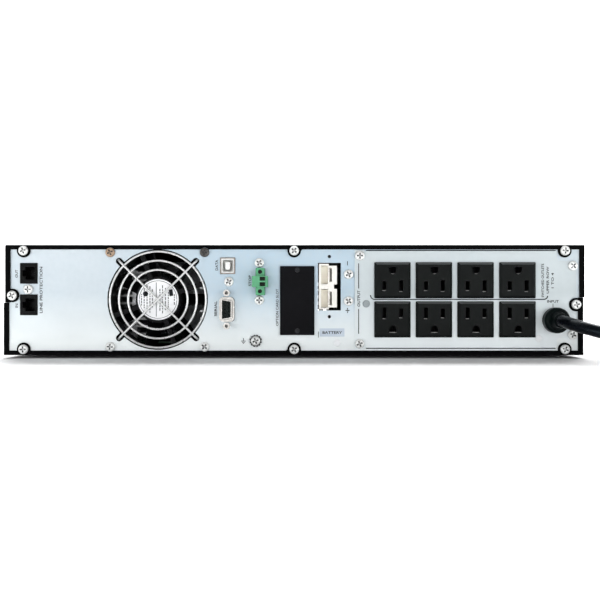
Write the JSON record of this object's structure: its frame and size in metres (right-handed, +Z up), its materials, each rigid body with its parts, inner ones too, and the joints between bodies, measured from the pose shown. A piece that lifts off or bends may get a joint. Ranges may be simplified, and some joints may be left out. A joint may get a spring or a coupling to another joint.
{
  "type": "rackmount uninterruptible power supply",
  "caption": "Two-unit rackmount UPS: black folded covers, pale rear panel with fan, ports and three-pin outlets, corded input, battery drawer and turning display.",
  "frame": {"origin": "centre of the footprint without the cord, on the surface the feet stand on", "axes": "+X to the right seen from the connector side, -Y out of the connector side, +Y out of the front bezel, +Z up"},
  "size_m": [0.6048, 0.4901, 0.087],
  "materials": {
    "black_steel": "satin black powder coat",
    "panel_steel": "pale galvanised steel",
    "plate_steel": "pale galvanised steel, brushed",
    "inner_steel": "zinc plated",
    "screw_steel": "bright nickel plated",
    "black_screw": "black oxide",
    "guard_wire": "bright nickel plated wire",
    "fan_plastic": "glass filled black",
    "jack_plastic": "black moulded",
    "port_shell": "nickel plated",
    "port_white": "white moulded",
    "port_black": "black moulded",
    "terminal_green": "green moulded",
    "card_black": "satin black",
    "connector_white": "ivory moulded",
    "contact_metal": "silver plated",
    "outlet_black": "black moulded",
    "board_green": "solder mask",
    "boot_black": "black moulded",
    "cord_black": "black jacket",
    "plug_black": "black moulded",
    "blade_metal": "polished",
    "sink_metal": "extruded",
    "can_metal": "sleeved",
    "core_metal": "ferrite and copper",
    "battery_case": "moulded",
    "dock_plastic": "black moulded",
    "bezel_black": "textured black",
    "display_black": "gloss black",
    "display_glass": "clear",
    "button_grey": "soft grey",
    "ear_steel": "black powder coat",
    "foot_rubber": "black"
  },
  "bodies": {
    "chassis": {"battery_connector": "connector_white", "battery_contacts": "contact_metal", "battery_dock": "dock_plastic", "bay_wall": "inner_steel", "bezel": "bezel_black", "bulk_capacitors": "can_metal", "card_cage": "inner_steel", "comm_board": "board_green", "cover_screws": "screw_steel", "data_port_shell": "port_shell", "data_port_tongue": "port_white", "fan_frame": "fan_plastic", "fan_guard": "guard_wire", "feet": "foot_rubber", "front_plate": "inner_steel", "ground_screw": "screw_steel", "heat_sinks": "sink_metal", "input_cord": "cord_black", "input_cord_coil": "cord_black", "input_plug": "plug_black", "line_jack_lower": "jack_plastic", "line_jack_upper": "jack_plastic", "lower_cover": "black_steel", "main_board": "board_green", "outlet_1": "outlet_black", "outlet_2": "outlet_black", "outlet_3": "outlet_black", "outlet_4": "outlet_black", "outlet_5": "outlet_black", "outlet_6": "outlet_black", "outlet_7": "outlet_black", "outlet_8": "outlet_black", "outlet_board": "board_green", "outlet_panel": "plate_steel", "panel_screws": "screw_steel", "plug_blades": "blade_metal", "power_magnetics": "core_metal", "rack_ear_screws": "black_screw", "rack_ears": "ear_steel", "rear_panel": "panel_steel", "serial_port_insert": "port_black", "serial_port_nuts": "port_shell", "serial_port_shell": "port_shell", "strain_relief": "boot_black", "surge_board": "board_green", "terminal_header": "terminal_green", "upper_cover": "black_steel"},
    "fan_rotor": {"fan_rotor": "fan_plastic"},
    "display": {"display_module": "display_black", "display_window": "display_glass"},
    "button_on": {"button_on": "button_grey"},
    "button_select": {"button_select": "button_grey"},
    "button_off": {"button_off": "button_grey"},
    "battery_drawer": {"battery_tray": "inner_steel", "batteries": "battery_case", "battery_door": "bezel_black"},
    "card_cover": {"card_slot_cover": "card_black", "card_cover_screws": "black_screw"},
    "terminal_plug": {"terminal_plug": "terminal_green", "terminal_plug_screws": "screw_steel"}
  },
  "joints": [
    {"name": "fan_spin", "type": "hinge", "parent": "chassis", "child": "fan_rotor", "pos_m": [-0.1037, -0.1866, 0.0444], "axis": [0, 1, 0], "continuous": true},
    {"name": "display_turn", "type": "hinge", "parent": "chassis", "child": "display", "pos_m": [0.118, 0.2084, 0.04405], "axis": [0, 1, 0], "range_deg": [0, 90]},
    {"name": "press_on", "type": "slide", "parent": "display", "child": "button_on", "axis": [0, -1, 0], "range_m": [0, 0.0008], "stiffness_N_per_m": 400},
    {"name": "press_select", "type": "slide", "parent": "display", "child": "button_select", "axis": [0, -1, 0], "range_m": [0, 0.0008], "stiffness_N_per_m": 400},
    {"name": "press_off", "type": "slide", "parent": "display", "child": "button_off", "axis": [0, -1, 0], "range_m": [0, 0.0008], "stiffness_N_per_m": 400},
    {"name": "battery_drawer_slide", "type": "slide", "parent": "chassis", "child": "battery_drawer", "axis": [0, 1, 0], "range_m": [0, 0.17]},
    {"name": "card_cover_off", "type": "slide", "parent": "chassis", "child": "card_cover", "axis": [0, -1, 0], "range_m": [0, 0.06]},
    {"name": "terminal_plug_off", "type": "slide", "parent": "chassis", "child": "terminal_plug", "axis": [0, -1, 0], "range_m": [0, 0.02]}
  ]
}
